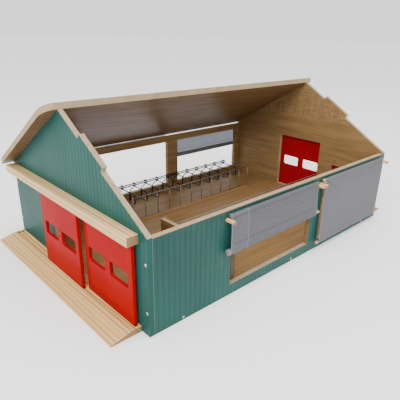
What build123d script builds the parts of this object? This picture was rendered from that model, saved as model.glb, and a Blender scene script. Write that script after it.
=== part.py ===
from build123d import *
import os
from math import cos, radians, sin, tan

# Toy barn of painted boards: sliding doors in grooved rails, roll-up side curtains, wire stalls and
# fences inside, and a roof board that lifts off the gables' tabs.
# X runs along the barn, with the two-door gable at -X. Y runs across it, with the front wall at -Y.
# Z is up. The origin is on the underside, in the middle of the walls' outline. Sizes are millimetres.

# ---------------------------------------------------------------- boards
length = 660.0  # over the outer faces of the two gables
width = 444.0  # over the outer faces of the two long walls
board = 9.0  # walls, floor, roof and partition
eave_height = 155.0  # of the gables
wall_drop = 1.5  # of the long walls' top edges, below the eave
roof_pitch = 31.0  # degrees

cladding_pitch = 10.0  # upright V grooves in the outer faces
groove_mouth = 1.8
groove_depth = 0.6

tab_start = 66.0  # down the slope from the ridge
tab_length = 70.0
tab_height = 8.5
tab_clearance = 0.7  # round each tab, in its slot
roof_seat_gap = 0.2
near_overhang = 24.0
far_overhang = 9.0
ridge_corner_radius = 20.0
eave_corner_radius = 5.0

# ---------------------------------------------------------------- side windows and curtains
window_width = 219.5
window_centre = -60.0  # of the window nearer the two-door gable
window_post = 33.0  # between two windows
window_top_drop = 16.5  # below the eave
front_sill = 19.0
back_sill = 28.0

curtain_lap = 7.5  # cloth beyond each side of its window
curtain_top_drop = 8.0  # below the eave
batten_depth = 5.5  # off the wall
batten_height = 6.0
cloth_thickness = 1.0
cloth_gap = 0.2  # behind the cloth, at the batten, and under it, at the roll
fold_depth = 0.9
peg_diameter = 6.5
peg_reach = 17.0  # off the wall
peg_socket = 5.0  # into the wall
peg_fit = 0.1  # on the diameter
peg_drop = 16.4  # below the eave
peg_gap = 1.0  # beside the cloth
rod_diameter = 5.0
rod_fit = 0.2  # on the diameter, in the rolled cloth
parked_gap = 0.3  # round a rolled-up curtain, where it lies on its pegs
full_roll_diameter = 13.0
half_roll_diameter = 11.0
hem_diameter = 7.0
half_roll_front_height = 86.5  # roll's axis
half_roll_back_height = 93.5
hem_height = 17.5

# ---------------------------------------------------------------- sliding doors
door_thickness = 6.0
door_width = 130.0
slide_gap = 0.3  # each side of a door, in its groove
door_float = 0.3  # under a door, in the ramp's groove
door_engagement = 6.0  # up into the rail
door_stop_gap = 0.5  # between a door and its groove's closed end
pane_width = 47.5
pane_height = 24.5
pane_bottom = 66.0
pane_spacing = 13.5
pane_radius = 5.0

rail_lip = 1.8
rail_rib = 1.6  # between two grooves
rail_height = 14.0
rail_groove_depth = 7.0
rail_end = 5.0  # closed end of a groove
rail_corner_radius = 7.0
closed_play = 1.5  # beyond the closed right-hand door of the pair
open_play = 9.5  # beyond the open left-hand door of the pair
door_gap = 6.0  # in plan, between the closed doors of the pair

ramp_reach = 52.0
ramp_shelf = 18.4  # level strip beside the gable
ramp_tip = 1.2
ramp_groove_depth = 3.0
ramp_overhang = 5.0  # past the rail's open-door end

near_centre = -60.0
near_opening = 240.0
near_rail_rise = 0.0  # of the rail's top, over the eave
near_lintel = 2.5  # board showing between the opening and its rail

far_centre = 1.0
far_opening = 123.5
far_rail_rise = 7.0
far_lintel = 1.0

hatch_centre = -122.0
hatch_opening = 50.0
hatch_width = 58.0
hatch_rail_bottom = 100.0
hatch_lintel = 1.0
hatch_play = 1.5  # beyond the open hatch

# ---------------------------------------------------------------- inside
partition_face = -149.4  # side towards the calf pen
partition_reach = 186.5  # from the front wall's inner face
partition_height = 58.0  # over the floor
feed_fence_height = 57.0  # over the floor
fence_wire = 2.4
picket_wire = 1.9
end_post_wire = 3.2
picket_pitch = 33.8
bay_count = 11
first_bay = -137.7
feed_fence_y = 99.0
kerb_width = 5.0
kerb_height = 3.5
calf_fence_y = -61.5
wire_gap = 0.1  # where a wire stands on wood or ends at it

divider_wire = 2.2
head_rail_wire = 1.7
head_rail_spacing = 4.4
ring_wire = 1.5
ring_gap = 0.2
ring_reach = 20.6  # from the back wall's inner face
ring_height = 57.0
nose_y = 141.0
nose_height = 52.0
divider_foot_bar = 29.0  # height of the lower bar
divider_leg_gap = 0.6  # leg to the back wall
divider_shoulder = 36.0  # height where the leg leaves the wall
divider_bend = 5.0  # cut off each corner of the bent wire
head_rail_overhang = 8.0  # past the first and last rings

# ---------------------------------------------------------------- derived
near, far = -1, 1
front, back = -1, 1
inside_x = length / 2 - board
inside_y = width / 2 - board
slope = radians(roof_pitch)
apex = eave_height + width / 2 * tan(slope)
windows = (window_centre, window_centre + window_width + window_post)
window_top = eave_height - window_top_drop
curtain_top = eave_height - curtain_top_drop
peg_height = eave_height - peg_drop
near_rail_bottom = eave_height + near_rail_rise - rail_height
near_opening_top = near_rail_bottom - near_lintel
far_rail_bottom = eave_height + far_rail_rise - rail_height
far_opening_top = far_rail_bottom - far_lintel
hatch_opening_top = hatch_rail_bottom - hatch_lintel
ring_y = inside_y - ring_reach
cloth_width = window_width + 2 * curtain_lap
cloth_axis = batten_depth + cloth_gap + fold_depth + cloth_thickness / 2  # off the wall
peg_offset = cloth_width / 2 + peg_gap + peg_diameter / 2
rod_length = 2 * peg_offset + peg_diameter
parked_axis = batten_depth + parked_gap + full_roll_diameter / 2
parked_height = peg_height + (peg_diameter + rod_diameter) / 2 + parked_gap
groove_width = door_thickness + 2 * slide_gap
door_foot = board - ramp_groove_depth + door_float
ring_radius = (head_rail_spacing + head_rail_wire + ring_wire) / 2 + ring_gap
bays = [first_bay + number * picket_pitch for number in range(bay_count + 1)]

right_door_centre = near_centre - door_gap - door_width / 2

# Ends of each rail in Y. A door's closed place is at one end, and it opens towards the other.
near_rail_ends = (
    near_centre - door_gap - door_width - door_stop_gap - closed_play - rail_end,
    near_centre + 2 * door_width + door_stop_gap + open_play + rail_end,
)
far_rail_ends = (
    far_centre - door_width / 2 - door_stop_gap - rail_end,
    far_centre + door_width * 3 / 2,
)
hatch_rail_ends = (
    hatch_centre - hatch_width * 3 / 2 - hatch_play,
    hatch_centre + hatch_width / 2 + door_stop_gap + rail_end,
)


def block(x, y, z):
    """Box between two x, two y and two z values, in either order."""
    size = [abs(high - low) for low, high in (x, y, z)]
    middle = [(low + high) / 2 for low, high in (x, y, z)]
    return Pos(*middle) * Box(*size)


def bar(start, end, diameter):
    """Round bar between two points."""
    run = Vector(*end) - Vector(*start)
    return extrude(Plane(start, z_dir=run) * Circle(diameter / 2), amount=run.length)


def wire(start, end, diameter):
    """Straight wire between two points, with eight flats so that many of them stay light."""
    run = Vector(*end) - Vector(*start)
    return extrude(Plane(start, z_dir=run) * wire_section(diameter), amount=run.length)


def wire_section(diameter):
    """Octagon that a round wire fits in, corner to corner."""
    return RegularPolygon(diameter / 2, 8)


def group(solids):
    """Separate solids that share one node."""
    return Compound(children=list(solids))


# ---------------------------------------------------------------- walls, floor and roof


def floor_board():
    """Floor between the four walls."""
    return block((-inside_x, inside_x), (-inside_y, inside_y), (0, board))


def clad_board(run, height):
    """Upright board along X with its outer face at Y = 0, towards -Y, grooved to look like cladding."""
    count = int(run / cladding_pitch)
    outline = [(-run / 2, board), (-run / 2, 0)]
    for number in range(count):
        middle = (number - (count - 1) / 2) * cladding_pitch
        outline += [(middle - groove_mouth / 2, 0), (middle, groove_depth), (middle + groove_mouth / 2, 0)]
    outline += [(run / 2, 0), (run / 2, board)]
    return extrude(make_face(Polyline(*outline, close=True)), amount=height)


def long_wall(side, sill):
    """Long wall between the gables, with two windows and a socket for each curtain peg."""
    turn = 0 if side == front else 180
    wall = Pos(0, side * width / 2, 0) * Rot(0, 0, turn) * clad_board(2 * inside_x, eave_height - wall_drop)
    through = (side * (inside_y - board), side * (width / 2 + board))
    for centre in windows:
        wall -= block((centre - window_width / 2, centre + window_width / 2), through, (sill, window_top))
        wall -= curtain_pegs(side, centre, peg_fit)
    return wall


def slope_point(side, down, out=0.0):
    """Y and Z of a point on one roof slope: a distance down from the ridge, and out from the slope."""
    y = down * cos(slope) + out * sin(slope)
    return (side * y, apex - down * sin(slope) + out * cos(slope))


def tab_outline(side):
    """Tab on one slope of a gable, from its upper end to its lower end."""
    tab_end = tab_start + tab_length
    return [
        slope_point(side, tab_start),
        slope_point(side, tab_start, tab_height),
        slope_point(side, tab_end, tab_height),
        slope_point(side, tab_end),
    ]


def gable(side, openings):
    """Gable board with a tab on each slope; openings are (centre, width, top) of its doorways."""
    back_edge = [(width / 2, 0), (width / 2, eave_height)]
    front_edge = [(-width / 2, eave_height), (-width / 2, 0)]
    outline = back_edge + tab_outline(back)[::-1] + [(0, apex)] + tab_outline(front) + front_edge
    face = make_face(Plane.YZ * Polyline(*outline, close=True))
    panel = Pos(side * length / 2, 0, 0) * Rot(0, 0, side * 90) * clad_board(width, apex)
    panel &= extrude(face, amount=length, both=True)
    through = (side * (inside_x - board), side * (length / 2 + board))
    for centre, clear_width, top in openings:
        panel -= block(through, (centre - clear_width / 2, centre + clear_width / 2), (board, top))
    return panel


def roof_panel():
    """Roof board of the back slope, cut plumb at ridge and eave, with a slot for each gable's tab."""
    run = length + near_overhang + far_overhang
    middle = (far_overhang - near_overhang) / 2
    plan = Pos(middle, width / 4) * Rectangle(run, width / 2)
    plan = fillet(plan.vertices().group_by(Axis.Y)[0].sort_by(Axis.X)[0], ridge_corner_radius)
    plan = fillet(plan.vertices().group_by(Axis.Y)[-1].sort_by(Axis.X)[0], eave_corner_radius)

    thick = (roof_seat_gap, roof_seat_gap + board)
    reach = width / cos(slope)  # past both ends of the slope
    slope_plane = Plane((0, 0, apex), x_dir=(1, 0, 0), z_dir=(0, sin(slope), cos(slope)))
    slab = slope_plane * block((middle - run, middle + run), (-reach, reach), thick)
    slot_half = board / 2 + tab_clearance
    slot_ends = (tab_start - tab_clearance, tab_start + tab_length + tab_clearance)
    for side in (near, far):
        tab_x = side * (length - board) / 2
        slab -= slope_plane * block((tab_x - slot_half, tab_x + slot_half), slot_ends, (-board, 2 * board))
    return slab & extrude(plan, amount=apex + 2 * board)


# ---------------------------------------------------------------- doors, rails and ramps


def groove_middle(number):
    """Middle of a door groove, out from the gable; groove 0 is beside the gable."""
    return rail_lip + groove_width / 2 + number * (groove_width + rail_rib)


def outward(side, low, high):
    """Two x values, from two distances out of a gable's outer face."""
    return (side * (length / 2 + low), side * (length / 2 + high))


def grooves(side, count, ends, z):
    """Cutters for closed-ended door grooves between two heights."""
    closed = (ends[0] + rail_end, ends[1] - rail_end)
    for number in range(count):
        middle = groove_middle(number)
        yield block(outward(side, middle - groove_width / 2, middle + groove_width / 2), closed, z)


def door_rail(side, count, ends, bottom, rounded=False):
    """Wooden rail that holds the doors' top edges, with its grooves open underneath."""
    outer_face = groove_middle(count - 1) + groove_width / 2 + rail_lip
    rail = block(outward(side, 0, outer_face), ends, (bottom, bottom + rail_height))
    if rounded:
        corner = rail.edges().filter_by(Axis.X).group_by(Axis.Z)[0].sort_by(Axis.Y)[-1]
        rail = fillet(corner, rail_corner_radius)
    rail -= list(grooves(side, count, ends, (bottom - board, bottom + rail_groove_depth)))
    return rail


def ramp(side, count, ends):
    """Wedge before a gable: a level shelf with the doors' grooves, then a slope to the ground."""
    outline = [
        (side * length / 2, 0),
        (side * (length / 2 + ramp_reach), 0),
        (side * (length / 2 + ramp_reach), ramp_tip),
        (side * (length / 2 + ramp_shelf), board),
        (side * length / 2, board),
    ]
    face = make_face(Plane.XZ * Polyline(*outline, close=True))
    wedge = Pos(0, (ends[0] + ends[1]) / 2, 0) * extrude(face, amount=(ends[1] - ends[0]) / 2, both=True)
    return wedge - list(grooves(side, count, ends, (board - ramp_groove_depth, 2 * board)))


def door(side, groove, centre, panel_width, rail_bottom, panes=True):
    """Sliding door, from the ramp's groove up into the rail's, with two rounded panes cut through."""
    middle = groove_middle(groove)
    thick = outward(side, middle - door_thickness / 2, middle + door_thickness / 2)
    sides = (centre - panel_width / 2, centre + panel_width / 2)
    panel = block(thick, sides, (door_foot, rail_bottom + door_engagement))
    if panes:
        outline = Plane.YZ * RectangleRounded(pane_width, pane_height, pane_radius)
        pane = extrude(outline, amount=board, both=True)
        shift = (pane_width + pane_spacing) / 2
        for y in (centre - shift, centre + shift):
            panel -= Pos(side * (length / 2 + middle), y, pane_bottom + pane_height / 2) * pane
    return panel


# ---------------------------------------------------------------- curtains


def curtain_pegs(side, centre, fit=0.0):
    """The two pegs beside a curtain's top, or their sockets when fit is given."""
    root = side * (width / 2 - peg_socket - fit)
    tip = side * (width / 2 + peg_reach)
    return [
        bar((centre + offset, root, peg_height), (centre + offset, tip, peg_height), peg_diameter + fit)
        for offset in (-peg_offset, peg_offset)
    ]


def batten(side, centre):
    """Slat on the wall over a window, which the cloth is fixed to."""
    sides = (centre - cloth_width / 2, centre + cloth_width / 2)
    thick = (side * width / 2, side * (width / 2 + batten_depth))
    return block(sides, thick, (curtain_top - batten_height, curtain_top))


def level_bar(side, centre, axis, height, bar_length, diameter):
    """Level round bar along a long wall, its axis a distance off the wall."""
    y = side * (width / 2 + axis)
    return bar((centre - bar_length / 2, y, height), (centre + bar_length / 2, y, height), diameter)


def rolled_cloth(side, centre, axis, height, diameter):
    """Cloth wound on the hem rod."""
    outer = level_bar(side, centre, axis, height, cloth_width, diameter)
    return outer - level_bar(side, centre, axis, height, cloth_width, rod_diameter + rod_fit)


def hanging_cloth(side, centre, bottom, folds):
    """Cloth from the batten's top down to its roll, with shallow upright folds.

    folds gives the folds' widths in proportion; they bulge outwards and inwards by turns.
    """
    inner = side * (width / 2 + cloth_axis - cloth_thickness / 2)
    outer = inner + side * cloth_thickness
    x = centre - cloth_width / 2
    edges = [Line((x, inner), (x, outer))]
    bulge = side * fold_depth
    for share in folds:
        end = x + share * cloth_width / sum(folds)
        middle = (x + end) / 2
        edges += [ThreePointArc((x, y), (middle, y + bulge), (end, y)) for y in (inner, outer)]
        x, bulge = end, -bulge
    edges.append(Line((x, inner), (x, outer)))
    return Pos(0, 0, bottom) * extrude(make_face(edges), amount=curtain_top - bottom)


def curtain(name, side, centre, axis, height, diameter, folds=None):
    """All pieces of one roll-up curtain; one that is rolled right up has no hanging cloth."""
    pieces = {
        f"{name}_batten": batten(side, centre),
        f"{name}_pegs": group(curtain_pegs(side, centre)),
        f"{name}_rod": level_bar(side, centre, axis, height, rod_length, rod_diameter),
        f"{name}_roll": rolled_cloth(side, centre, axis, height, diameter),
    }
    if folds:
        pieces[f"{name}_cloth"] = hanging_cloth(side, centre, height + diameter / 2 + cloth_gap, folds)
    return pieces


# ---------------------------------------------------------------- fences and stalls


def wire_fence(ends, y, foot, height, pickets, end_posts=()):
    """Welded fence: a rail along the foot, a rail along the top, and pickets between."""
    low = foot + wire_gap + fence_wire / 2
    high = board + height - fence_wire / 2
    rails = [wire((ends[0], y, z), (ends[1], y, z), fence_wire) for z in (low, high)]
    uprights = [wire((x, y, low), (x, y, high), picket_wire) for x in pickets]
    half = fence_wire / 2
    posts = [wire((x, y, low - half), (x, y, high + half), end_post_wire) for x in end_posts]
    return rails[0] + [rails[1], *uprights, *posts]


def calf_fence():
    """Fence of the calf pen, as high as its partition and from there to the far gable."""
    start = partition_face + wire_gap
    end = inside_x - wire_gap
    count = int((end - start) / picket_pitch)
    pickets = [start + (number + 0.5) * (end - start) / count for number in range(count)]
    return wire_fence((start, end), calf_fence_y, board, partition_height, pickets)


def feed_fence():
    """Fence along the stalls' feed kerb, with a stout post at its open end."""
    ends = (bays[0], bays[-1])
    return wire_fence(ends, feed_fence_y, board + kerb_height, feed_fence_height, bays[1:], bays[:1])


def feed_kerb():
    """Wooden strip on the floor under the feed fence."""
    sides = (feed_fence_y - kerb_width / 2, feed_fence_y + kerb_width / 2)
    return block((bays[0], bays[-1]), sides, (board, board + kerb_height))


def cut_corners(points, cut):
    """Route with each inner corner replaced by two points, a distance along its two legs."""
    route = [points[0]]
    for before, corner, after in zip(points, points[1:], points[2:]):
        for neighbour in (before, after):
            leg = Vector(*neighbour) - Vector(*corner)
            route.append(tuple(Vector(*corner) + leg.normalized() * cut)[:2])
    return route + [points[-1]]


def stall_divider(x):
    """Bent wire between two stalls: up the back wall, over to a ring, out to the nose and back."""
    leg_y = inside_y - divider_leg_gap - divider_wire / 2
    foot = board + wire_gap
    corners = [
        (leg_y, foot),
        (leg_y, divider_shoulder),
        (ring_y, ring_height - ring_radius),
        (nose_y, nose_height),
        (nose_y, divider_foot_bar),
        (ring_y, divider_foot_bar),
    ]
    route = Pos(x, 0, 0) * (Plane.YZ * Polyline(*cut_corners(corners, divider_bend)))
    section = Plane((x, leg_y, foot)) * wire_section(divider_wire)
    hoop = sweep(section, path=route, transition=Transition.RIGHT)
    let_in = leg_y - divider_wire / 4  # the lower bar's end, inside the leg
    lower = wire((x, ring_y, divider_foot_bar), (x, let_in, divider_foot_bar), divider_wire)
    washer = RegularPolygon(ring_radius + ring_wire / 2, 12) - RegularPolygon(ring_radius - ring_wire / 2, 12)
    ring = Pos(x, ring_y, ring_height) * extrude(Plane.YZ * washer, amount=ring_wire / 2, both=True)
    return hoop + [lower, ring]


def head_rails():
    """Two wires that run through the dividers' rings."""
    ends = (bays[0] - head_rail_overhang, bays[-1] + head_rail_overhang)
    for z in (ring_height - head_rail_spacing / 2, ring_height + head_rail_spacing / 2):
        yield wire((ends[0], ring_y, z), (ends[1], ring_y, z), head_rail_wire)


def partition():
    """Upright board at the end of the calf pen, from the front wall."""
    sides = (-inside_y, -inside_y + partition_reach)
    return block((partition_face - board, partition_face), sides, (board, board + partition_height))


# ---------------------------------------------------------------- the barn

far_openings = [
    (far_centre, far_opening, far_opening_top),
    (hatch_centre, hatch_opening, hatch_opening_top),
]

nodes = {
    "floor_board": floor_board(),
    "front_wall": long_wall(front, front_sill),
    "back_wall": long_wall(back, back_sill),
    "near_gable": gable(near, [(near_centre, near_opening, near_opening_top)]),
    "far_gable": gable(far, far_openings),
    "roof_panel": roof_panel(),
    "near_rail": door_rail(near, 2, near_rail_ends, near_rail_bottom, rounded=True),
    "near_ramp": ramp(near, 2, (near_rail_ends[0], near_rail_ends[1] + ramp_overhang)),
    "near_left_door": door(near, 1, near_centre + door_width / 2, door_width, near_rail_bottom),
    "near_right_door": door(near, 0, right_door_centre, door_width, near_rail_bottom),
    "far_rail": door_rail(far, 1, far_rail_ends, far_rail_bottom),
    "hatch_rail": door_rail(far, 1, hatch_rail_ends, hatch_rail_bottom),
    "far_ramp": ramp(far, 1, (hatch_rail_ends[0], far_rail_ends[1])),
    "far_door": door(far, 0, far_centre, door_width, far_rail_bottom),
    "hatch_door": door(far, 0, hatch_centre, hatch_width, hatch_rail_bottom, panes=False),
    "partition_board": partition(),
    "calf_pen_fence": calf_fence(),
    "feed_fence": feed_fence(),
    "feed_kerb": feed_kerb(),
    "stall_head_rails": group(head_rails()),
    "stall_dividers": group(stall_divider(x) for x in bays),
}

left, right = windows
half_up = (cloth_axis, half_roll_front_height, half_roll_diameter)
nodes |= curtain("front_left", front, left, *half_up, folds=(5, 6, 4, 7, 5, 6))
let_down = (cloth_axis, hem_height, hem_diameter)
nodes |= curtain("front_right", front, right, *let_down, folds=(6, 4, 5, 7, 4, 6))
half_up = (cloth_axis, half_roll_back_height, half_roll_diameter)
nodes |= curtain("back_right", back, right, *half_up, folds=(4, 6, 5, 6, 7, 5))
nodes |= curtain("back_left", back, left, parked_axis, parked_height, full_roll_diameter)

os.makedirs("parts", exist_ok=True)
for name, shape in nodes.items():
    export_step(shape, f"parts/{name}.step")
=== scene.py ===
from math import asin, atan2, cos, exp, hypot, pi, radians, sin
from typing import NamedTuple

import bpy
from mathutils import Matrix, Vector


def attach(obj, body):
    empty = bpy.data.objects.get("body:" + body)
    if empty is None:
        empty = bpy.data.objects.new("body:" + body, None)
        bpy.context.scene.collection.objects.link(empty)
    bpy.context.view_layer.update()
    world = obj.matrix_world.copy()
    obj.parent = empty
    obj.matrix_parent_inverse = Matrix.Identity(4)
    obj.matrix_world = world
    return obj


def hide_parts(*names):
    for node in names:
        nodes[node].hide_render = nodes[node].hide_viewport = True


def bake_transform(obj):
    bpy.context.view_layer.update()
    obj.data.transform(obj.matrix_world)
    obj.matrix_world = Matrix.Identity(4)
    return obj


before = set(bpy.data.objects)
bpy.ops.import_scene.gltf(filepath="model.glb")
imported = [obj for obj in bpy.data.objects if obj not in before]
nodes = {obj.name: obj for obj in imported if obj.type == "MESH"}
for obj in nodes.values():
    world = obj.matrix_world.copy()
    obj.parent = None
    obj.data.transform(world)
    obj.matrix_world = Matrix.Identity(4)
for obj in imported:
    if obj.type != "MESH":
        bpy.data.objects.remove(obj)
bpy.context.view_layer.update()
scene = bpy.context.scene

# ------------------------------------------------------------------ sizes and places, in metres

MM = 0.001
ALONG_BARN, ACROSS_BARN, UP = (1, 0, 0), (0, 1, 0), (0, 0, 1)
CORNERS = ((1, 1), (-1, 1), (-1, -1), (1, -1))  # of a rectangle round its middle

WALL = 222 * MM  # outer face of each long wall, from the middle
WALL_MIDDLE = 217.5 * MM  # of its thickness
WALL_TOP = 153.5 * MM
GABLE = 330 * MM  # outer face of each gable, from the middle
GABLE_INSIDE = 321 * MM
VENEER_JOINT = 204 * MM  # height of the joint on the gables' inner faces
EAVE = 155 * MM
ROOF_NORMAL = (0, 0.515, 0.857)  # square to the roof board
CLADDING_PITCH = 10 * MM
LEFT_WINDOW = -60 * MM  # middles of the windows in both long walls
RIGHT_WINDOW = 192.5 * MM
FIRST_BAY = -137.7 * MM  # stall dividers along the barn
BAY_PITCH = 33.8 * MM
BAYS = [FIRST_BAY + BAY_PITCH * number for number in range(12)]

BATTEN_FRONT = 5.5 * MM  # off the wall
BATTEN_BOTTOM = 141 * MM
CLOTH_WIDTH = 234 * MM  # of the widest cloth
CLOTH_LENGTH = 156 * MM
CLOTH_THICKNESS = 0.4 * MM
CLOTH_TOP = 147.3 * MM  # middle of the cloth on a batten's top
CLOTH_FRONT = 5.9 * MM  # middle of the cloth in front of a batten, off the wall
ROLL_INSIDE = 2.8 * MM  # radius at which the cloth ends inside its roll
HANGING_STEP = 1.6 * MM  # between rows of the cloth's mesh
WINDING_STEP = radians(18)
THREAD_PITCH = 0.9 * MM
HEM_WIDTH = 6 * MM
SEAM_INSET = 5 * MM  # from the cloth's edge
SEAM_WIDTH = 0.5 * MM
STITCH_PITCH = 3.2 * MM
STITCH_SHARE = 0.62  # of the pitch

WOOD_RELIEF = 0.15 * MM
BOARD_RELIEF = 0.25 * MM  # of walls and gables
PAINT_RELIEF = 0.012 * MM
CLOTH_RELIEF = 0.12 * MM
WIRE_RELIEF = 0.05 * MM


# ------------------------------------------------------------------ colours


def tone(red, green, blue):
    """Linear colour of an 8-bit screen colour."""
    channels = [value / 255 for value in (red, green, blue)]
    linear = [c / 12.92 if c <= 0.04045 else ((c + 0.055) / 1.055) ** 2.4 for c in channels]
    return (*linear, 1.0)


WOOD_LIGHT = tone(142, 114, 74)
WOOD_DARK = tone(106, 80, 48)
# End grain made darker still as painted shade.
END_GRAIN_AND_SHADE_LIGHT = tone(80, 61, 34)
END_GRAIN_AND_SHADE_DARK = tone(62, 47, 26)
UPPER_LIGHT = tone(150, 122, 80)
UPPER_DARK = tone(94, 72, 46)
ROOF_LIGHT = tone(122, 95, 64)
ROOF_DARK = tone(92, 67, 43)
FLOOR_LIGHT = tone(148, 117, 74)
FLOOR_DARK = tone(116, 87, 49)
BARE_LIGHT = tone(166, 146, 117)
BARE_DARK = tone(150, 128, 98)
GREEN_LIGHT = tone(24, 78, 71)
GREEN_DARK = tone(18, 67, 62)
GREEN_WORN = tone(90, 110, 95)
RED_LIGHT = tone(150, 5, 11)
RED_DARK = tone(139, 3, 8)
PINE_LIGHT = tone(212, 180, 128)
PINE_DARK = tone(140, 92, 48)
PINE_END = tone(104, 78, 54)
RAMP_LIGHT = tone(208, 170, 108)
KERB_LIGHT = tone(168, 124, 76)
KERB_DARK = tone(138, 98, 56)
PEG_LIGHT = tone(206, 164, 112)
PEG_DARK = tone(176, 126, 80)
CLOTH_LIGHT = tone(126, 127, 131)
CLOTH_DARK = tone(101, 102, 107)
# Painted shade of the cloth's bends and folds.
CLOTH_PAINTED_SHADE = tone(84, 86, 96)
# Pale thread colour, also used as a painted highlight on a crease.
CLOTH_THREAD_AND_HIGHLIGHT = tone(148, 149, 154)
WIRE_LIGHT = tone(120, 114, 112)
WIRE_DARK = tone(14, 14, 18)
SCREW_LIGHT = tone(205, 208, 206)
SCREW_DARK = tone(40, 40, 40)
FLOOR_PALE = (0.90, 0.90, 0.90, 1)
FLOOR_GREY = (0.86, 0.86, 0.86, 1)
WHITE = (1.0, 1.0, 1.0, 1)


# ------------------------------------------------------------------ surfaces

# Sockets of a Mix node for each kind of data: its two inputs and its result.
MIX_SOCKETS = {"FLOAT": (2, 3, 0), "VECTOR": (4, 5, 1), "RGBA": (6, 7, 2)}


class Surface:
    """A procedural material and the nodes that make it."""

    def __init__(self, name):
        self.material = bpy.data.materials.new(name)
        self.material.use_nodes = True
        self.tree = self.material.node_tree
        self.shader = self.tree.nodes["Principled BSDF"]
        coordinates = self.tree.nodes.new("ShaderNodeTexCoord")
        self.place = coordinates.outputs["Object"]
        self.flat_place = coordinates.outputs["UV"]
        self.normal = coordinates.outputs["Normal"]

    def put(self, socket, value):
        if isinstance(value, bpy.types.NodeSocket):
            self.tree.links.new(value, socket)
        else:
            socket.default_value = value

    def node(self, kind, inputs, **settings):
        made = self.tree.nodes.new("ShaderNode" + kind)
        for key, value in settings.items():
            setattr(made, key, value)
        for key, value in inputs.items():
            self.put(made.inputs[key], value)
        return made

    def math(self, operation, a, b=0.0):
        return self.node("Math", {0: a, 1: b}, operation=operation).outputs[0]

    def plus(self, a, b):
        return self.math("ADD", a, b)

    def minus(self, a, b):
        return self.math("SUBTRACT", a, b)

    def times(self, a, b):
        return self.math("MULTIPLY", a, b)

    def unsigned(self, value):
        return self.math("ABSOLUTE", value)

    def above(self, value, limit):
        """1 where the value is above a limit, 0 elsewhere."""
        return self.math("GREATER_THAN", value, limit)

    def below(self, value, limit):
        """1 where the value is below a limit, 0 elsewhere."""
        return self.math("LESS_THAN", value, limit)

    def weighted(self, a, weight_a, b, weight_b):
        """Sum of two values, each times its weight."""
        return self.plus(self.times(a, weight_a), self.times(b, weight_b))

    def scaled(self, vector, factors):
        return self.node("VectorMath", {0: vector, 1: factors}, operation="MULTIPLY").outputs[0]

    def along(self, vector, axis):
        """Part of a vector along an axis."""
        return self.node("VectorMath", {0: vector, 1: axis}, operation="DOT_PRODUCT").outputs["Value"]

    def noise(self, per_metre, detail=2.0, place=None):
        """Noise with its own number of spots per metre along X, Y and Z."""
        vector = self.scaled(place or self.place, per_metre)
        return self.node("TexNoise", {"Vector": vector, "Scale": 1.0, "Detail": detail}).outputs["Fac"]

    def level(self, value, low, high, to_low=0.0, to_high=1.0):
        """Value mapped from one range to another and kept inside it."""
        keys = {"Value": value, "From Min": low, "From Max": high, "To Min": to_low, "To Max": to_high}
        return self.node("MapRange", keys).outputs["Result"]

    def spread(self, noise, to_low=0.0, to_high=1.0):
        """Noise mapped to a range, from the 0.3 to 0.7 that it mostly keeps to."""
        return self.level(noise, 0.3, 0.7, to_low, to_high)

    def mixed(self, kind, share, under, over):
        """Value of one kind of data between two others."""
        first, second, result = MIX_SOCKETS[kind]
        return self.node("Mix", {0: share, first: under, second: over}, data_type=kind).outputs[result]

    def mix(self, share, under, over):
        """Colour between two colours."""
        return self.mixed("RGBA", share, under, over)

    def between(self, share, under, over):
        """Number between two numbers."""
        return self.mixed("FLOAT", share, under, over)

    def shade(self, colour, factor):
        """Colour made darker or lighter."""
        return self.node("VectorMath", {0: colour, "Scale": factor}, operation="SCALE").outputs[0]

    def faces(self, direction, least=0.5, both_ways=False):
        """1 on faces that look in a direction, or also straight against it, and 0 elsewhere."""
        facing = self.along(self.normal, direction)
        return self.above(self.unsigned(facing) if both_ways else facing, least)

    def layer(self, mask, under, over):
        """Colour, roughness and height of one finish over another where the mask is 1."""
        colour = self.mix(mask, under[0], over[0])
        return (colour, self.between(mask, under[1], over[1]), self.between(mask, under[2], over[2]))

    def finish(self, colour, roughness, height, depth, gloss=0.3, normal=None):
        """Connects the colour, the roughness and a relief with its depth in metres."""
        bump = self.node("Bump", {"Height": height, "Distance": depth, "Strength": 1.0})
        if normal is not None:
            self.put(bump.inputs["Normal"], normal)
        self.put(self.shader.inputs["Base Color"], colour)
        self.put(self.shader.inputs["Roughness"], roughness)
        self.put(self.shader.inputs["Normal"], bump.outputs["Normal"])
        self.shader.inputs["Specular IOR Level"].default_value = gloss
        return self.material

    def softened(self, mask, flat, most):
        """Normal that is drawn most of the way to a flat direction where the mask is 1."""
        own = self.tree.nodes.new("ShaderNodeNewGeometry").outputs["Normal"]
        drawn = self.mixed("VECTOR", self.times(mask, most), own, flat)
        return self.node("VectorMath", {0: drawn}, operation="NORMALIZE").outputs[0]


def by_axis(axis, along, across):
    """Vector with one number along an axis and another along the other two."""
    return tuple(along if letter == axis else across for letter in "XYZ")


# ------------------------------------------------------------------ finishes of the boards


def veneer(surface, axis, light, dark, roughness=0.5):
    """Face of a board: streaky grain, broad bands and fine dark pores along one axis."""
    bands = surface.noise(by_axis(axis, 3, 60), 3.0)
    streaks = surface.noise(by_axis(axis, 14, 330), 4.0)
    pores = surface.level(surface.noise(by_axis(axis, 55, 1500), 1.0), 0.30, 0.42)
    share = surface.weighted(bands, 0.5, streaks, 0.5)
    colour = surface.mix(surface.level(share, 0.32, 0.68), dark, light)
    colour = surface.shade(colour, surface.between(pores, 0.84, 1.0))
    rough = surface.spread(streaks, roughness + 0.06, roughness - 0.06)
    return (colour, rough, surface.weighted(streaks, 0.5, pores, 0.5))


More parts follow.
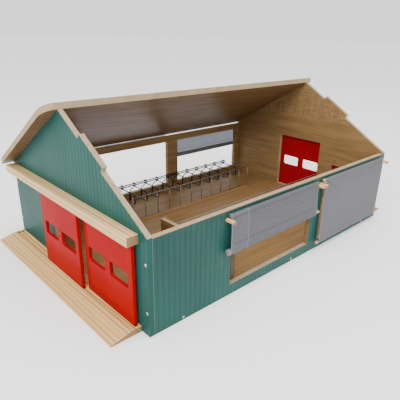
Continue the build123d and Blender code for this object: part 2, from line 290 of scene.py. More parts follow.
def sawn_edge(surface):
    """Bare sawn edge of a board: pale, with fine sawmarks and cloudy tone."""
    cloud = surface.noise((45, 45, 45), 3.0)
    fibres = surface.noise((260, 260, 700), 3.0)
    colour = surface.mix(surface.spread(cloud), BARE_DARK, BARE_LIGHT)
    colour = surface.shade(colour, surface.spread(fibres, 0.92, 1.05))
    return (colour, surface.spread(fibres, 0.62, 0.72), surface.times(fibres, 0.8))


def woven_veneer(surface, light, dark):
    """Face of a board with fine grain that runs across it and finer marks that cross the grain."""
    grain = surface.noise((40, 40, 420), 3.0)
    marks = surface.noise((420, 420, 25), 3.0)
    height = surface.times(surface.plus(grain, marks), 0.5)
    colour = surface.mix(surface.spread(height), dark, light)
    return (colour, surface.spread(grain, 0.56, 0.46), height)


def green_coat(surface, across, groove_shade, eave_shade=1.0):
    """Satin green paint over upright cladding strips.

    Across each strip its tone rises and falls by the groove shade, as painted shade and light of the
    cladding's grooves, and towards the eave it is darkened by a factor, as painted shade.
    """
    turn = surface.times(surface.along(surface.place, across), 2 * pi / CLADDING_PITCH)
    strip = surface.math("COSINE", turn)
    fading = surface.level(surface.noise((3.5, 3.5, 6), 1.0), 0.35, 0.65, 0.25, 1.0)
    cloud = surface.noise((14, 14, 7), 3.0)
    fibres = surface.noise((800, 800, 16), 3.0)
    worn = surface.level(surface.noise((70, 70, 18), 4.0), 0.66, 0.74)
    colour = surface.mix(surface.spread(cloud), GREEN_DARK, GREEN_LIGHT)
    # Painted shade and light of the cladding's grooves, stronger in some places than others.
    groove_shade_tint = surface.times(surface.times(strip, fading), groove_shade)
    colour = surface.shade(colour, surface.plus(groove_shade_tint, 0.98))
    # Painted shade: the coat grows darker towards the eave by the eave shade factor.
    above_floor = surface.along(surface.place, UP)
    colour = surface.shade(colour, surface.level(above_floor, 0.15 * EAVE, EAVE, 1.0, eave_shade))
    colour = surface.shade(colour, surface.level(fibres, 0.25, 0.75, 0.95, 1.05))
    colour = surface.mix(surface.times(worn, 0.10), colour, GREEN_WORN)
    return (colour, surface.spread(fibres, 0.36, 0.46), surface.weighted(strip, 0.12, fibres, 0.10))


def wall_material(name, side):
    """Long wall: painted outside, bare edges, horizontal grain inside."""
    surface = Surface(name)
    outward = (0, side, 0)
    inside = veneer(surface, "X", WOOD_LIGHT, WOOD_DARK)
    below_top = surface.below(surface.along(surface.place, UP), WALL_TOP - 1.0 * MM)
    painted = surface.times(surface.faces(outward), below_top)
    finish = surface.layer(surface.faces(UP, both_ways=True), inside, sawn_edge(surface))
    # The wall's coat is darkened towards the eave as painted shade, and banded as painted shade and light of
    # its grooves.
    finish = surface.layer(painted, finish, green_coat(surface, ALONG_BARN, 0.06, eave_shade=0.76))
    normal = surface.softened(painted, outward, 0.9)
    return surface.finish(*finish, depth=BOARD_RELIEF, gloss=0.20, normal=normal)


def gable_material(name, side):
    """Gable: painted outside and on its upright ends, bare edges, and woven veneer above a joint inside."""
    surface = Surface(name)
    outward, inward = (side, 0, 0), (-side, 0, 0)
    height = surface.along(surface.place, UP)
    lower = veneer(surface, "Y", WOOD_LIGHT, WOOD_DARK)
    upper = woven_veneer(surface, UPPER_LIGHT, UPPER_DARK)
    inside = surface.layer(surface.above(height, VENEER_JOINT), lower, upper)
    finish = surface.layer(surface.faces(inward), sawn_edge(surface), inside)
    painted = surface.faces(outward)
    # The gable's coat carries faint painted shade and light of its grooves.
    finish = surface.layer(painted, finish, green_coat(surface, ACROSS_BARN, 0.025))
    end = surface.above(surface.unsigned(surface.along(surface.place, ACROSS_BARN)), WALL - 0.3 * MM)
    end = surface.times(end, surface.below(height, EAVE - 0.6 * MM))
    end = surface.times(end, surface.above(surface.along(surface.place, outward), GABLE_INSIDE + 0.35 * MM))
    finish = surface.layer(end, finish, green_coat(surface, ALONG_BARN, 0.0))
    normal = surface.softened(painted, outward, 0.97)
    return surface.finish(*finish, depth=BOARD_RELIEF, gloss=0.14, normal=normal)


def roof_material():
    """Roof board: dark satin veneer on both faces, bare edges."""
    surface = Surface("roof_board")
    face = veneer(surface, "X", ROOF_LIGHT, ROOF_DARK, 0.36)
    broad = surface.faces(ROOF_NORMAL, 0.9, both_ways=True)
    return surface.finish(*surface.layer(broad, sawn_edge(surface), face), depth=WOOD_RELIEF, gloss=0.15)


def floor_material():
    """Floor board: satin veneer on top, bare edges."""
    surface = Surface("floor_wood")
    face = veneer(surface, "X", FLOOR_LIGHT, FLOOR_DARK, 0.42)
    return surface.finish(*surface.layer(surface.faces(UP), sawn_edge(surface), face), depth=WOOD_RELIEF)


def partition_material():
    """Partition board: veneer on its sides, a dark end with upright grain toward the front, dark as end
    grain and as painted shade, and a bare top.
    """
    surface = Surface("partition_wood")
    face = veneer(surface, "Y", WOOD_LIGHT, WOOD_DARK)
    # The front end's dark tone is partly end grain and partly painted shade.
    end = veneer(surface, "Z", END_GRAIN_AND_SHADE_LIGHT, END_GRAIN_AND_SHADE_DARK)
    finish = surface.layer(surface.faces((0, -1, 0)), face, end)
    return surface.finish(*surface.layer(surface.faces(UP), finish, sawn_edge(surface)), depth=WOOD_RELIEF)


# ------------------------------------------------------------------ pine, red paint and wire


def pine_material(name, axis, pith, ring_pitch, wander, light=PINE_LIGHT, dark=PINE_DARK):
    """Planed pine cut from round a pith line, so that its rings show on every face.

    The pith is a place on that line, which runs along the axis. The rings wander by some pitches.
    """
    surface = Surface(name)
    centred = surface.node("VectorMath", {0: surface.place, 1: pith}, operation="SUBTRACT").outputs[0]
    from_pith = surface.scaled(centred, by_axis(axis, 0.0, 1.0))
    distance = surface.node("VectorMath", {0: from_pith}, operation="LENGTH").outputs["Value"]
    drift = surface.times(surface.noise(by_axis(axis, 2.0, 14), 2.0), wander)
    rings = surface.plus(surface.math("DIVIDE", distance, ring_pitch), drift)
    through_ring = surface.math("FRACT", rings)
    number = surface.math("FLOOR", rings)
    strength = surface.node("TexWhiteNoise", {"W": number}, noise_dimensions="1D").outputs["Value"]
    late = surface.times(surface.level(through_ring, 0.45, 0.88), surface.level(through_ring, 1.0, 0.93))
    late = surface.times(late, surface.between(strength, 0.2, 1.0))
    fibres = surface.noise(by_axis(axis, 12, 520), 3.0)
    colour = surface.mix(surface.times(late, 0.9), light, dark)
    colour = surface.shade(colour, surface.level(fibres, 0.25, 0.75, 0.90, 1.05))
    end = surface.faces(by_axis(axis, 1.0, 0.0), 0.6, both_ways=True)
    colour = surface.mix(surface.times(end, 0.8), colour, PINE_END)
    rough = surface.level(late, 0.0, 1.0, 0.58, 0.48)
    return surface.finish(colour, rough, surface.weighted(late, 0.5, fibres, 0.5), depth=WOOD_RELIEF)


def red_material():
    """Gloss red paint with a faint ripple, a little lighter in cloudy spots."""
    surface = Surface("red_gloss")
    cloud = surface.noise((22, 22, 22), 3.0)
    ripple = surface.noise((240, 240, 240), 2.0)
    colour = surface.mix(surface.spread(cloud), RED_DARK, RED_LIGHT)
    return surface.finish(colour, surface.spread(ripple, 0.17, 0.22), ripple, depth=PAINT_RELIEF, gloss=0.02)


def wire_material(name, colour, metallic):
    """Dull metal of a wire or screw, with faint drawing marks and darker spots."""
    surface = Surface(name)
    spots = surface.level(surface.noise((320, 320, 320), 3.0), 0.35, 0.65)
    drawn = surface.noise((60, 900, 900), 2.0)
    spotted = surface.shade(colour[:3], surface.between(spots, 0.78, 1.08))
    surface.shader.inputs["Metallic"].default_value = metallic
    return surface.finish(spotted, surface.spread(drawn, 0.34, 0.46), drawn, depth=WIRE_RELIEF)


# ------------------------------------------------------------------ cloth's material


def soft_line(surface, distance, reach, core):
    """1 within a line's core, fading to 0 at its reach; both are distances from its middle."""
    return surface.level(surface.unsigned(distance), reach, core)


def past(surface, direction, start):
    """Distance on the flat cloth past a start, in millimetres, along a direction."""
    distance = surface.along(surface.flat_place, (*direction, 0))
    return surface.minus(distance, (start[0] * direction[0] + start[1] * direction[1]) * MM)


def fold_shade_line(surface, start, end):
    """Line of painted shade along a fold, which fades from its start to its end, both on the flat cloth in
    millimetres.
    """
    length = hypot(end[0] - start[0], end[1] - start[1])
    ahead = ((end[0] - start[0]) / length, (end[1] - start[1]) / length)
    run = past(surface, ahead, start)
    line = soft_line(surface, past(surface, (ahead[1], -ahead[0]), start), 1.8 * MM, 0.5 * MM)
    return surface.times(line, surface.level(run, length * MM, 0.3 * length * MM))


def stitched_hem(surface, colour, across, down):
    """Cloth's colour with a pale rim and a dashed seam along its sides, and the mask of its hems."""
    edge = surface.minus(CLOTH_WIDTH / 2, surface.unsigned(across))
    hem = surface.below(edge, HEM_WIDTH)
    rim = surface.level(edge, 2.2 * MM, 1.0 * MM)
    seam = surface.below(surface.unsigned(surface.minus(edge, SEAM_INSET)), SEAM_WIDTH / 2)
    dash = surface.below(surface.math("FRACT", surface.math("DIVIDE", down, STITCH_PITCH)), STITCH_SHARE)
    thread = surface.times(seam, dash)
    colour = surface.mix(surface.times(thread, 0.5), colour, CLOTH_THREAD_AND_HIGHLIGHT)
    return surface.mix(surface.times(rim, 0.55), colour, CLOTH_THREAD_AND_HIGHLIGHT), hem


def cloth_material(name, shade_lines=(), fold_shades=(), crease=None, strength=1.0):
    """Plain woven cloth with side hems; its flat place is across and along the cloth, in metres.

    Lines of painted shade run across it at distances from its top. A fold shade is a line of painted shade
    along a fold, which fades from its first point to its second. Left of a crease the cloth is painted a
    little lighter as painted light, with a pale painted highlight on the crease. All these are in
    millimetres.
    Strength is a share of the common colour; below 1 it darkens the whole cloth as painted shade.
    """
    surface = Surface(name)
    across = surface.along(surface.flat_place, (1, 0, 0))
    down = surface.along(surface.flat_place, (0, 1, 0))
    warp = surface.math("SINE", surface.times(across, 2 * pi / THREAD_PITCH))
    weft = surface.math("SINE", surface.times(down, 2 * pi / THREAD_PITCH))
    weave = surface.times(warp, weft)
    slubs = surface.noise((900, 260, 1), 3.0, surface.flat_place)
    threads = surface.noise((220, 900, 1), 3.0, surface.flat_place)
    cloud = surface.noise((180, 180, 1), 4.0, surface.flat_place)
    mottle = surface.weighted(slubs, 0.5, threads, 0.5)
    colour = surface.mix(surface.level(mottle, 0.36, 0.64), CLOTH_DARK, CLOTH_LIGHT)
    colour = surface.shade(colour, surface.spread(cloud, 0.965, 1.035))
    colour = surface.shade(colour, surface.level(weave, -1.0, 1.0, 0.93, 1.03))
    # Lines of painted shade across the cloth, then painted shade along its folds.
    for distance in shade_lines:
        line = soft_line(surface, surface.minus(down, distance * MM), 1.8 * MM, 0.6 * MM)
        colour = surface.mix(surface.times(line, 0.35), colour, CLOTH_PAINTED_SHADE)
    for start, end in fold_shades:
        colour = surface.mix(surface.times(fold_shade_line(surface, start, end), 0.6), colour, CLOTH_PAINTED_SHADE)
    # Painted shade over the whole cloth where the strength is below 1.
    colour = surface.shade(colour, strength)
    # Painted light left of the crease, where the cloth turns to the light, and a pale painted highlight
    # along the crease.
    if crease is not None:
        beside = surface.minus(across, crease * MM)
        colour = surface.shade(colour, surface.between(surface.below(beside, 0.0), 1.0, 1.07))
        line = soft_line(surface, beside, 1.3 * MM, 0.5 * MM)
        colour = surface.mix(surface.times(line, 0.5), colour, CLOTH_THREAD_AND_HIGHLIGHT)
    colour, hem = stitched_hem(surface, colour, across, down)
    height = surface.weighted(weave, 0.4, mottle, 0.8)
    height = surface.plus(height, surface.times(hem, 1.5))
    surface.shader.inputs["Sheen Weight"].default_value = 0.15
    made = surface.finish(colour, surface.spread(mottle, 0.82, 0.94), height, depth=CLOTH_RELIEF, gloss=0.2)
    light_through = surface.node("BsdfTranslucent", {"Color": surface.shade(colour, 4.3)}).outputs[0]
    both = surface.node("MixShader", {0: 0.5, 1: surface.shader.outputs[0], 2: light_through})
    surface.put(surface.tree.nodes["Material Output"].inputs["Surface"], both.outputs[0])
    return made


# ------------------------------------------------------------------ CAD pieces that keep their shape


def dress(material, *names):
    """Gives CAD nodes a material."""
    for name in names:
        nodes[name].data.materials.clear()
        nodes[name].data.materials.append(material)


def ease(width, *names, limit=75, segments=2):
    """Takes the sharpness off CAD nodes' edges; the width is in millimetres, the limit in degrees."""
    for name in names:
        weld = nodes[name].modifiers.new("weld", "WELD")
        weld.merge_threshold = 0.01 * MM
        bevel = nodes[name].modifiers.new("ease", "BEVEL")
        bevel.width = width * MM
        bevel.segments = segments
        bevel.limit_method = "ANGLE"
        bevel.angle_limit = radians(limit)


BOARDS = ("front_wall", "back_wall", "near_gable", "far_gable", "partition_board")
RAILS_AND_RAMPS = ("near_rail", "near_ramp", "far_rail", "hatch_rail", "far_ramp")
DOORS = ("near_left_door", "near_right_door", "far_door", "hatch_door")

dress(wall_material("front_wall_board", -1), "front_wall")
dress(wall_material("back_wall_board", 1), "back_wall")
dress(gable_material("near_gable_board", -1), "near_gable")
dress(gable_material("far_gable_board", 1), "far_gable")
dress(roof_material(), "roof_panel")
dress(floor_material(), "floor_board")
dress(partition_material(), "partition_board")
dress(pine_material("near_rail_pine", "Y", (-0.300, 0, 0.100), 4.0 * MM, 1.6), "near_rail")
dress(pine_material("near_ramp_pine", "Y", (-0.425, 0, -0.030), 6.6 * MM, 3.6, RAMP_LIGHT), "near_ramp")
dress(pine_material("far_ramp_pine", "Y", (0.425, 0, -0.034), 6.2 * MM, 3.6, RAMP_LIGHT), "far_ramp")
dress(pine_material("far_rail_pine", "Y", (0.300, 0, 0.110), 3.8 * MM, 1.6), "far_rail", "hatch_rail")
dress(pine_material("kerb_wood", "X", (0, 0.08, -0.04), 3.0 * MM, 2.0, KERB_LIGHT, KERB_DARK), "feed_kerb")
dress(red_material(), *DOORS)

ease(0.5, *BOARDS)
ease(0.7, "roof_panel", *RAILS_AND_RAMPS, limit=50)
ease(0.6, *DOORS)


# ------------------------------------------------------------------ curtains


def make_mesh(name, points, faces, smooth=True):
    """Object from points and faces in the row frame."""
    mesh = bpy.data.meshes.new(name)
    mesh.from_pydata(points, [], faces)
    mesh.polygons.foreach_set("use_smooth", [smooth] * len(mesh.polygons))
    made = bpy.data.objects.new(name, mesh)
    scene.collection.objects.link(made)
    return made


def ridge(distance, width):
    """1 on a crease and falling away beside it."""
    return 1 / (1 + (distance / width) ** 2)


def upright_fold(rise, place, lean, width, fade=0.0):
    """Fold down the cloth, which shifts by its lean on the way to the roll and ends at 1 / fade of it."""
    return lambda u, share: rise * ridge(u - place - lean * share, width) * max(0.0, 1 - fade * share)


def level_fold(rise, drop, place, width):
    """Fold across the cloth at a place on its drop."""
    return lambda u, share: rise * ridge(share * drop - place, width)


def sharp_crease(rise, place, left, right):
    """Crease down the cloth, which rises slowly on its left and drops off at once on its right."""
    return lambda u, share: rise * exp((u - place) / left if u < place else (place - u) / right)


class Curtain(NamedTuple):
    """A roll-up curtain's sizes and places, in metres."""

    side: int  # -1 on the front wall, 1 on the back wall
    centre: float  # along the wall
    axis: float  # roll's axis, off the wall
    height: float  # of the roll's axis
    radius: float  # of the roll
    width: float  # of the cloth
    top_shift: float  # of the cloth along the wall at its top
    roll_shift: float  # and at its roll
    wave: float  # start of the cloth's waves, in radians
    folds: tuple


CURTAINS = {
    "front_left": Curtain(
        side=-1, centre=LEFT_WINDOW, axis=7.1 * MM, height=86.5 * MM, radius=5.5 * MM,
        width=CLOTH_WIDTH, top_shift=-0.8 * MM, roll_shift=-7.0 * MM, wave=10,
        folds=(
            sharp_crease(2.4 * MM, -79 * MM, 24 * MM, 1.2 * MM),
            level_fold(1.1 * MM, 60 * MM, 48 * MM, 2.5 * MM),
        ),
    ),
    "front_right": Curtain(
        side=-1, centre=RIGHT_WINDOW, axis=7.1 * MM, height=17.5 * MM, radius=3.5 * MM,
        width=230 * MM, top_shift=2.4 * MM, roll_shift=-3.5 * MM, wave=11,
        folds=(
            upright_fold(1.7 * MM, 84 * MM, -75 * MM, 5 * MM, 2.2),
            upright_fold(0.9 * MM, 62 * MM, -50 * MM, 6 * MM, 1.8),
            upright_fold(0.8 * MM, -96 * MM, 20 * MM, 8 * MM),
        ),
    ),
    "back_right": Curtain(
        side=1, centre=RIGHT_WINDOW, axis=7.1 * MM, height=93.5 * MM, radius=5.5 * MM,
        width=CLOTH_WIDTH, top_shift=0.5 * MM, roll_shift=5.5 * MM, wave=10,
        folds=(
            upright_fold(0.9 * MM, 30 * MM, 0, 4 * MM),
            upright_fold(-0.7 * MM, -62 * MM, 20 * MM, 6 * MM),
        ),
    ),
    "back_left": Curtain(
        side=1, centre=LEFT_WINDOW, axis=12.3 * MM, height=144.65 * MM, radius=6.5 * MM,
        width=233 * MM, top_shift=0, roll_shift=1.5 * MM, wave=9, folds=(),
    ),
}
CLOTHS = {
    # The front-left cloth is darkened overall as painted shade, as it hangs less lit.
    "front_left": cloth_material("front_left_grey_cloth", (11, 52), crease=-78, strength=0.87),
    # Painted shade along the front-right cloth's folds near its top corners.
    "front_right": cloth_material(
        "front_right_grey_cloth", fold_shades=(((116, 8), (42, 20)), ((116, 10), (70, 30)), ((-114, 8), (-80, 26)))
    ),
    "back_right": cloth_material("back_right_grey_cloth", (46,)),
    "back_left": cloth_material("back_left_grey_cloth"),
}


def run_lengths(line):
    """Distance along a line from its start to each of its points."""
    lengths = [0.0]
    for a, b in zip(line, line[1:]):
        lengths.append(lengths[-1] + hypot(b[0] - a[0], b[1] - a[1]))
    return lengths


def cloth_profile(curtain):
    """Middle line of a curtain's cloth, as (off the wall, up), and its number of points above the roll.

    It is fixed on its batten's top, comes down in front, runs straight to the roll and winds inwards
    round the rod.
    """
    line = [(off * MM, CLOTH_TOP) for off in (0.8, 3.0, 5.0)]
    line += [(5.6 * MM, CLOTH_TOP - 0.2 * MM), (CLOTH_FRONT, CLOTH_TOP - 0.7 * MM)]
    line += [(CLOTH_FRONT, 144 * MM), (CLOTH_FRONT, BATTEN_BOTTOM)]
    axis, height = curtain.axis, curtain.height
    outer = curtain.radius - CLOTH_THICKNESS / 2
    start = line[-1]
    reach = hypot(axis - start[0], height - start[1])
    tangent = atan2(height - start[1], axis - start[0]) + asin(outer / reach) + pi / 2
    meet = (axis + outer * cos(tangent), height + outer * sin(tangent))
    steps = max(6, int(hypot(meet[0] - start[0], meet[1] - start[1]) / HANGING_STEP))
    for step in range(1, steps + 1):
        share = step / steps
        line.append(tuple(a + share * (b - a) for a, b in zip(start, meet)))
    hanging = len(line)
    pitch = pi * (outer ** 2 - ROLL_INSIDE ** 2) / (CLOTH_LENGTH - run_lengths(line)[-1])
    turn = 2 * pi * (outer - ROLL_INSIDE) / pitch
    steps = int(turn / WINDING_STEP)
    for step in range(1, steps + 1):
        angle = turn * step / steps
        r = outer - pitch * angle / (2 * pi)
        line.append((axis + r * cos(tangent - angle), height + r * sin(tangent - angle)))
    return line, hanging


def bulge(curtain, u, share):
    """How far the cloth stands off its plane, u from its middle and at a share of the way to its roll.

    It is the sum of a slow and a quick wave and the curtain's folds, and fades to none at both ends.
    """
    if not 0 < share < 1:
        return 0.0
    waves = 0.45 * MM * sin(u * 61 + curtain.wave) + 0.3 * MM * sin(u * 133 + 1.7 + 2.2 * share)
    return sin(pi * share) ** 0.7 * (waves + sum(fold(u, share) for fold in curtain.folds))


def way_down(line, hanging, row):
    """Share of the way from the batten's lower edge to the roll: 0 above the edge and 1 in the roll."""
    bottom = line[hanging - 1][1]
    if row >= hanging:
        return 1.0
    if bottom >= BATTEN_BOTTOM:
        return 0.0
    return max(0.0, (BATTEN_BOTTOM - line[row][1]) / (BATTEN_BOTTOM - bottom))


def cloth_mesh(name, curtain, columns=72):
    """Curtain's cloth as a grid from its batten to its end inside the roll, and its length.

    It hangs a little askew, from its shift at the top to its shift at the roll, and its turns on the
    rod are a little slack. Its flat place is in a UV layer.
    """
    line, hanging = cloth_profile(curtain)
    lengths = run_lengths(line)
    points, flat = [], []
    for row, (off, up) in enumerate(line):
        share = way_down(line, hanging, row)
        shift = curtain.top_shift + (curtain.roll_shift - curtain.top_shift) * share ** 1.3
        for column in range(columns + 1):
            u = (column / columns - 0.5) * curtain.width
            if row >= hanging:
                slack = 1 + 0.012 * (1 + sin(u * 90 + row * 0.3))
                out = curtain.axis + (off - curtain.axis) * slack
                z = curtain.height + (up - curtain.height) * slack
            else:
                out, z = off + bulge(curtain, u, share), up
            points.append((curtain.centre + u + shift, curtain.side * (WALL + out), z))
            flat.append((u * CLOTH_WIDTH / curtain.width, lengths[row]))
    faces = []
    for row in range(len(line) - 1):
        for column in range(columns):
            first = row * (columns + 1) + column
            faces.append((first, first + 1, first + columns + 2, first + columns + 1))
    cloth = make_mesh(name, points, faces)
    layer = cloth.data.uv_layers.new(name="flat")
    for loop in cloth.data.loops:
        layer.data[loop.index].uv = flat[loop.vertex_index]
    return cloth, lengths[-1]


def hang_curtain(name, curtain):
    """One curtain's cloth, in a single sheet that stretches between its batten and its roll."""
    cloth, length = cloth_mesh(name + "_curtain_cloth", curtain)
    cloth.data.materials.append(CLOTHS[name])
    solid = cloth.modifiers.new("thickness", "SOLIDIFY")
    solid.thickness = CLOTH_THICKNESS
    solid.offset = 0
    rolled_up = curtain.axis - curtain.radius > BATTEN_FRONT
    if rolled_up:
        replaced = [name + "_roll"]
    else:
        replaced = [name + "_roll", name + "_cloth"]
    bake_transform(cloth)
    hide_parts(*replaced)


lath_pine = pine_material("lath_pine", "X", (0, 0.206, 0.160), 2.2 * MM, 3.0)
peg_pine = pine_material("peg_pine", "Y", (0.030, 0, 0.131), 1.9 * MM, 2.0, PEG_LIGHT, PEG_DARK)
for name, curtain in CURTAINS.items():
    dress(lath_pine, name + "_batten", name + "_rod")
    dress(peg_pine, name + "_pegs")
    ease(0.4, name + "_batten")
    ease(0.5, name + "_rod")
    ease(1.3, name + "_pegs", segments=4)
    hang_curtain(name, curtain)


# ------------------------------------------------------------------ wire work


def circle_angles(count):
    """Angles of points evenly spaced round a circle."""
    return [2 * pi * number / count for number in range(count)]


def plane_normal(route):
    """Unit vector square to the plane of a route, or square to a straight one."""
    first = (route[1] - route[0]).normalized()
    for point in route[2:]:
        normal = first.cross(point - route[1])
        if normal.length > 1e-9:
            return normal.normalized()
    return first.orthogonal().normalized()


class WireWork:
    """Round wires, rings, weld beads and screw heads gathered into one mesh of two materials."""

    def __init__(self, name):
        self.name, self.points, self.faces, self.slots = name, [], [], []

    def skin(self, rings, closed=False, slot=0):
        """Faces over rings of points, each ring joined to the next."""
        base, sides = len(self.points), len(rings[0])
        self.points += [point for ring in rings for point in ring]
        count = len(rings)
        for number in range(count if closed else count - 1):
            one, two = base + number * sides, base + (number + 1) % count * sides
            for k in range(sides):
                j = (k + 1) % sides
                self.faces.append((one + k, one + j, two + j, two + k))
                self.slots.append(slot)
        if not closed:
            self.faces += [tuple(range(base + sides - 1, base - 1, -1))]
            self.faces += [tuple(range(base + (count - 1) * sides, base + count * sides))]
            self.slots += [slot, slot]

    def tube(self, route, diameter, closed=False, sides=12):
        """Round wire along points that lie in one plane."""
        route = [Vector(point) for point in route]
        count, r = len(route), diameter / 2
        flat = plane_normal(route)
        rings = []
        for number, point in enumerate(route):
            before = route[(number - 1) % count] if closed or number else point
            after = route[(number + 1) % count] if closed or number < count - 1 else point
            ahead = (after - before).normalized()
            across = flat.cross(ahead).normalized()
            rings.append([point + across * r * cos(a) + flat * r * sin(a) for a in circle_angles(sides)])
        self.skin(rings, closed)

    def bead(self, place, diameter, stretch=(1.0, 1.0, 1.0), levels=6, sides=10):
        """Small rounded lump of weld metal."""
        r = diameter / 2
        rings = []
        for level in range(1, levels):
            polar = pi * level / levels
            ring = []
            for a in circle_angles(sides):
                offset = (sin(polar) * cos(a), sin(polar) * sin(a), cos(polar))
                ring.append(tuple(p + r * o * s for p, o, s in zip(place, offset, stretch)))
            rings.append(ring)
        self.skin(rings, slot=1)

    def make(self, first, second, replaced=(), smooth=True):
        """Piece on the root body with two materials, which replaces CAD nodes where some are given."""
        made = make_mesh(self.name, self.points, self.faces, smooth)
        made.data.materials.append(first)
        made.data.materials.append(second)
        made.data.polygons.foreach_set("material_index", self.slots)
        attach(made, "root")
        if replaced:
            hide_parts(*replaced)


def rounded(corners, radius, steps=5):
    """Route with each inner corner bent to an arc that starts a distance along its legs."""
    route = [Vector(corners[0])]
    for before, corner, after in zip(corners, corners[1:], corners[2:]):
        corner = Vector(corner)
        start = corner + (Vector(before) - corner).normalized() * radius
        end = corner + (Vector(after) - corner).normalized() * radius
        for step in range(steps + 1):
            t = step / steps
            route.append(start * (1 - t) ** 2 + corner * 2 * t * (1 - t) + end * t ** 2)
    return route + [Vector(corners[-1])]


bright_wire = wire_material("bright_wire", WIRE_LIGHT, 0.35)
dark_wire = wire_material("dark_wire", WIRE_DARK, 0.2)

# Fences: wire diameters, and weld beads between each picket and its rails.
RAIL_WIRE = 2.4 * MM
PICKET_WIRE = 1.9 * MM
POST_WIRE = 3.2 * MM
POST_END = 1.2 * MM  # past the rails' middles
BEAD = 2.9 * MM
BEAD_INSET = 0.9 * MM  # inwards from the rails' middles
PEN_ENDS = (-149.3 * MM, 320.9 * MM)
PEN_PICKET_COUNT = 13
BAY_ENDS = (BAYS[0], BAYS[-1])


def welded_fence(node, ends, y, low, high, pickets, post=None):
    """Two rails with upright pickets welded to them, and a stout post where one is given."""
    work = WireWork(node + "_wires")
    for z in (low, high):
        work.tube([(ends[0], y, z), (ends[1], y, z)], RAIL_WIRE)
    for x in pickets:
        work.tube([(x, y, low), (x, y, high)], PICKET_WIRE, sides=10)
        for z in (low + BEAD_INSET, high - BEAD_INSET):
            work.bead((x, y, z), BEAD, (1.05, 0.95, 0.8))
    if post is not None:
        work.tube([(post, y, low - POST_END), (post, y, high + POST_END)], POST_WIRE)
    work.make(bright_wire, dark_wire, [node])


pen_pitch = (PEN_ENDS[1] - PEN_ENDS[0]) / PEN_PICKET_COUNT
pen_pickets = [PEN_ENDS[0] + (number + 0.5) * pen_pitch for number in range(PEN_PICKET_COUNT)]
welded_fence("calf_pen_fence", PEN_ENDS, -61.5 * MM, low=10.3 * MM, high=65.8 * MM, pickets=pen_pickets)
welded_fence("feed_fence", BAY_ENDS, 99 * MM, low=13.8 * MM, high=64.8 * MM, pickets=BAYS[1:], post=BAYS[0])

# Stalls, in millimetres across and up: each divider is a bent wire with a ring for the two head rails.
DIVIDER_CORNERS = [(211.3, 9.1), (211.3, 36), (192.4, 53), (141, 52), (141, 29), (211, 29)]
DIVIDER_BEND = 5
DIVIDER_WIRE = 2.5
DIVIDER_BEADS = (  # place, diameter and stretch
    ((211.2, 29), 3.0, (1.0, 1.0, 1.1)),
    ((192.4, 52.5), 2.6, (1.0, 1.2, 0.8)),
)
RING_CENTRE = (192.4, 57)
RING_RADIUS = 4.6
RING_WIRE = 2.3
RING_POINTS = 24
HEAD_RAIL_WIRE = 2.6
HEAD_RAIL_RISE = 2.1  # of each rail from the rings' centre
HEAD_RAIL_END = 8  # past the last dividers


def divider(work, x):
    """One bent wire with its ring, and weld beads at its lower bar's end and under its ring."""
    route = [(x, y * MM, z * MM) for y, z in DIVIDER_CORNERS]
    work.tube(rounded(route, DIVIDER_BEND * MM), DIVIDER_WIRE * MM)
    for (y, z), diameter, stretch in DIVIDER_BEADS:
        work.bead((x, y * MM, z * MM), diameter * MM, stretch)
    y, z = RING_CENTRE
    ring = [(y + RING_RADIUS * cos(a), z + RING_RADIUS * sin(a)) for a in circle_angles(RING_POINTS)]
    work.tube([(x, y * MM, z * MM) for y, z in ring], RING_WIRE * MM, closed=True, sides=8)


stalls = WireWork("stall_wires")
for bay in BAYS:
    divider(stalls, bay)
for rise in (-HEAD_RAIL_RISE, HEAD_RAIL_RISE):
    y, z = RING_CENTRE[0] * MM, (RING_CENTRE[1] + rise) * MM
    ends = (BAYS[0] - HEAD_RAIL_END * MM, BAYS[-1] + HEAD_RAIL_END * MM)
    stalls.tube([(x, y, z) for x in ends], HEAD_RAIL_WIRE * MM)
stalls.make(dark_wire, dark_wire, ["stall_head_rails", "stall_dividers"])


# ------------------------------------------------------------------ screws

# A head's rings, as a share of its radius and a height in millimetres, and the dark bars that stand for its
# recess as painted shade.
SUNK_RINGS = ((1.28, 0.02), (1.28, 0.10), (0.98, 0.12))
DOME_RINGS = ((1.0, 0.05), (1.0, 0.35), (0.82, 0.72), (0.4, 0.92))
RECESS_HEIGHTS = (0.80, 0.97)
RECESS_LENGTH, RECESS_WIDTH = 0.55, 0.12

# Heads and places, in millimetres.
WALL_SCREW, FLOOR_SCREW, RAIL_SCREW = 4.8, 4.2, 2.6
WALL_SCREW_HEIGHTS = (38, 115)
FLOOR_SCREW_PLACES = (-268, 0, 268)
FLOOR_MIDDLE = 4.6
NEAR_RAIL_SCREWS = ((-156.5, 151.5), (168.5, 151.5))  # across and up
FAR_RAIL_SCREWS = ((-25, 158.5), (155.5, 158.5), (-192, 110.5), (-106, 110.5))
HEAD_SIDES = 20


def add_screw(work, place, outward, head, dome_slot=0):
    """Round screw head in a flat dark ring, with dark bars that stand for its cross recess as painted shade.
    """
    place, out, r = Vector(place), Vector(outward), head * MM / 2
    side = Vector(UP)
    other = out.cross(side)

    def ring(radius, up):
        angles = circle_angles(HEAD_SIDES)
        return [place + side * radius * cos(a) + other * radius * sin(a) + out * up for a in angles]

    work.skin([ring(r * share, up * MM) for share, up in SUNK_RINGS], slot=1)
    work.skin([ring(r * share, up * MM) for share, up in DOME_RINGS], slot=dome_slot)
    for first, second in ((side, other), (other, side)):
        bar = []
        for up in RECESS_HEIGHTS:
            bar.append([
                place + first * a * r * RECESS_LENGTH + second * b * r * RECESS_WIDTH + out * (up * MM)
                for a, b in CORNERS
            ])
        work.skin(bar, slot=1)


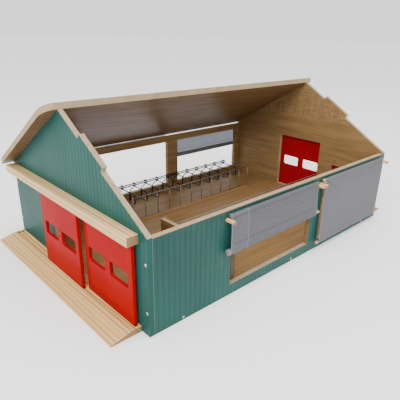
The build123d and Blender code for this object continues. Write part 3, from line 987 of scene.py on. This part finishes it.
screws = WireWork("board_screws")
for side in (-1, 1):
    for wall in (-1, 1):
        for z in WALL_SCREW_HEIGHTS:
            add_screw(screws, (side * GABLE, wall * WALL_MIDDLE, z * MM), (side, 0, 0), WALL_SCREW)
    for x in FLOOR_SCREW_PLACES:
        add_screw(screws, (x * MM, side * WALL, FLOOR_MIDDLE * MM), (0, side, 0), FLOOR_SCREW)
for side, places in ((-1, NEAR_RAIL_SCREWS), (1, FAR_RAIL_SCREWS)):
    for y, z in places:
        # Rail screws get dark domes, as painted shade.
        add_screw(screws, (side * GABLE_INSIDE, y * MM, z * MM), (-side, 0, 0), RAIL_SCREW, dome_slot=1)
steel = wire_material("screw_steel", SCREW_LIGHT, 0.9)
# Dark material of the rings, and painted shade on the recess bars and the rail screws' domes.
recess = wire_material("screw_dark_painted_shade", SCREW_DARK, 0.2)
screws.make(steel, recess, smooth=False)


# ------------------------------------------------------------------ studio

GROUND_REACH = 20  # from the middle
GROUND_LEVEL = -1 * MM  # just under the barn

# The camera has the photograph's viewing angle and framing.
camera = bpy.data.objects.new("camera", bpy.data.cameras.new("camera"))
camera.location = (-0.6114, -0.6224, 0.4029)
camera.rotation_euler = [radians(angle) for angle in (67.972, -1.088, -42.867)]
camera.data.lens = 38.28
camera.data.sensor_width = 36
camera.data.shift_x = -0.00585
camera.data.shift_y = 0.00679
scene.collection.objects.link(camera)
scene.camera = camera


def studio_material():
    """Plain pale floor that glows a little."""
    surface = Surface("studio_floor")
    paper = surface.noise((6, 6, 6), 2.0)
    surface.finish(surface.mix(paper, FLOOR_GREY, FLOOR_PALE), 0.8, paper, depth=0.01 * MM)
    surface.shader.inputs["Emission Color"].default_value = WHITE
    surface.shader.inputs["Emission Strength"].default_value = 0.25
    return surface.material


def softbox(name, place, aim, size, energy, colour=(1, 1, 1)):
    """Square area light that looks at a point."""
    light = bpy.data.objects.new(name, bpy.data.lights.new(name, "AREA"))
    light.data.size = size
    light.data.energy = energy
    light.data.color = colour
    light.location = place
    light.rotation_euler = (Vector(aim) - Vector(place)).to_track_quat("-Z", "Y").to_euler()
    scene.collection.objects.link(light)


corners = [(a * GROUND_REACH, b * GROUND_REACH, GROUND_LEVEL) for a, b in CORNERS]
ground = make_mesh("studio_ground", corners, [(0, 1, 2, 3)], smooth=False)
ground.data.materials.append(studio_material())

world = bpy.data.worlds.new("studio")
scene.world = world
world.use_nodes = True
background = world.node_tree.nodes["Background"]
background.inputs["Color"].default_value = WHITE
background.inputs["Strength"].default_value = 1.5

softbox("key", (-1.9, -0.9, 1.7), aim=(0, 0, 0.1), size=1.4, energy=60, colour=(1.0, 0.98, 0.95))
softbox("front_fill", (0.6, -2.2, 1.2), aim=(0, 0, 0.1), size=1.6, energy=10, colour=(0.96, 0.98, 1.0))
softbox("top", (0.1, -0.3, 2.2), aim=(0, 0, 0), size=1.6, energy=26)
